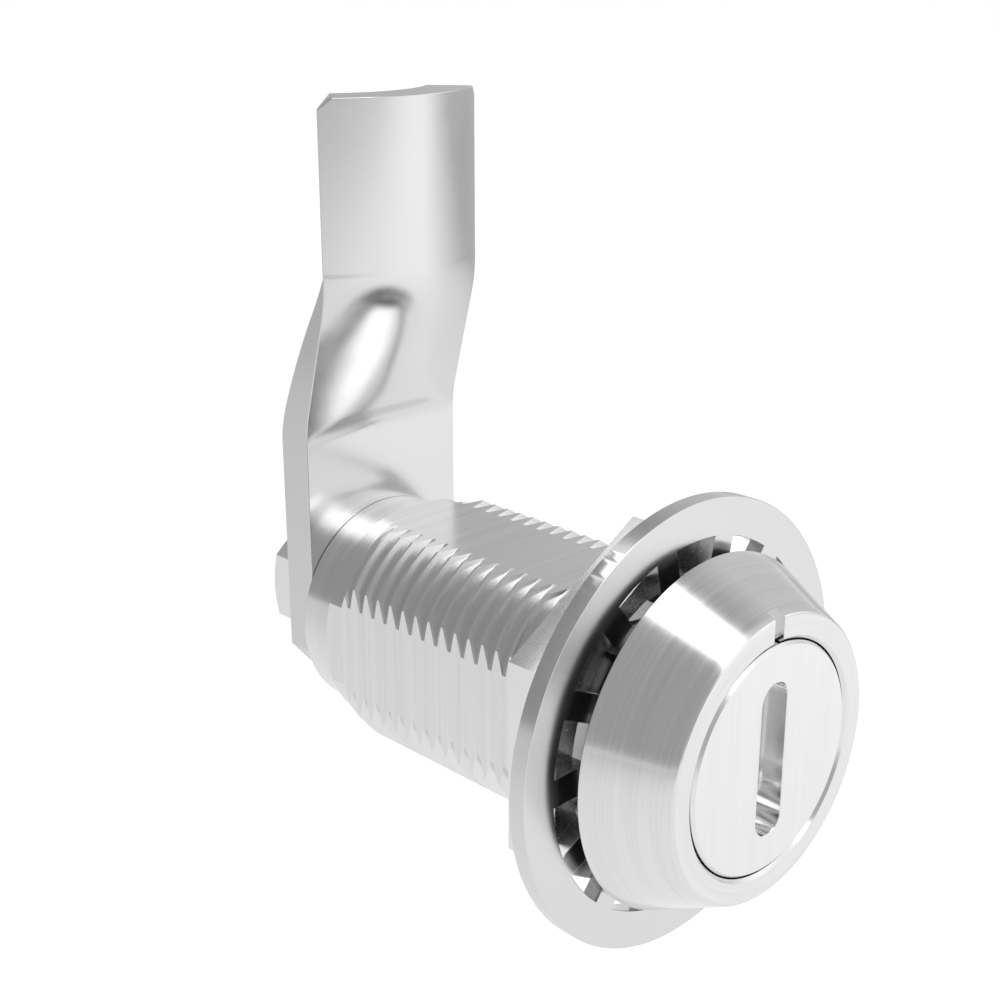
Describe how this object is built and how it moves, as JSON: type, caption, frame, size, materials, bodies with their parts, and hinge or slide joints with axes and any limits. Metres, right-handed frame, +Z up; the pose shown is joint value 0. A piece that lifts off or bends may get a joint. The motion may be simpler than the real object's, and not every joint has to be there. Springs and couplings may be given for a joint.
{
  "type": "compression latch",
  "caption": "Quarter-turn compression latch: slotted conical head, threaded barrel with flats, hex nut, toothed washer and a cranked cam that swings and then pulls in.",
  "frame": {"origin": "centre of the head's rear face on the barrel's axis, where the panel's outer face lies", "axes": "+Y along the barrel from the head to the cam, +Z up along the cam in its closed position, +X to the right seen from in front of the head"},
  "size_m": [0.0354, 0.052, 0.062],
  "materials": {
    "brushed_stainless": "brushed",
    "satin_stainless": "satin",
    "machined_steel": "satin",
    "black_rubber": "matte",
    "bearing_plastic": "satin"
  },
  "bodies": {
    "housing": {"housing": "brushed_stainless", "head_gasket": "black_rubber", "thrust_washer": "bearing_plastic", "stop_pin": "machined_steel"},
    "washer": {"tooth_washer": "satin_stainless"},
    "nut": {"hex_nut": "satin_stainless"},
    "guide": {"guide_sleeve": "machined_steel", "guide_o_ring": "black_rubber", "spindle_o_ring": "black_rubber", "guide_circlip": "machined_steel"},
    "driver": {"driver": "brushed_stainless", "driver_o_ring": "black_rubber", "driver_snap_ring": "machined_steel", "return_spring": "machined_steel"},
    "cam": {"spindle": "machined_steel", "cross_pin": "machined_steel", "cam": "satin_stainless", "cam_washer": "satin_stainless", "cam_spring_washer": "machined_steel", "cam_bolt": "satin_stainless"}
  },
  "joints": [
    {"name": "turn", "type": "hinge", "parent": "housing", "child": "guide", "pos_m": [0, 0.018, 0], "axis": [0, 1, 0], "range_deg": [-90, 0]},
    {"name": "tighten", "type": "hinge", "parent": "guide", "child": "driver", "pos_m": [0, 0, 0], "axis": [0, 1, 0], "range_deg": [-90, 0]},
    {"name": "pull", "type": "slide", "parent": "guide", "child": "cam", "axis": [0, 1, 0], "range_m": [0, 0.006]},
    {"name": "nut_travel", "type": "slide", "parent": "housing", "child": "washer", "axis": [0, 1, 0], "range_m": [0, 0.02]},
    {"name": "nut_turn", "type": "hinge", "parent": "washer", "child": "nut", "pos_m": [0, 0.005, 0], "axis": [0, 1, 0], "range_deg": [0, 4800]}
  ],
  "couplings": [
    {"joint": "tighten", "follows": "pull", "rad_per_m": -261.8},
    {"joint": "nut_travel", "follows": "nut_turn", "m_per_rad": 0.00023873}
  ]
}
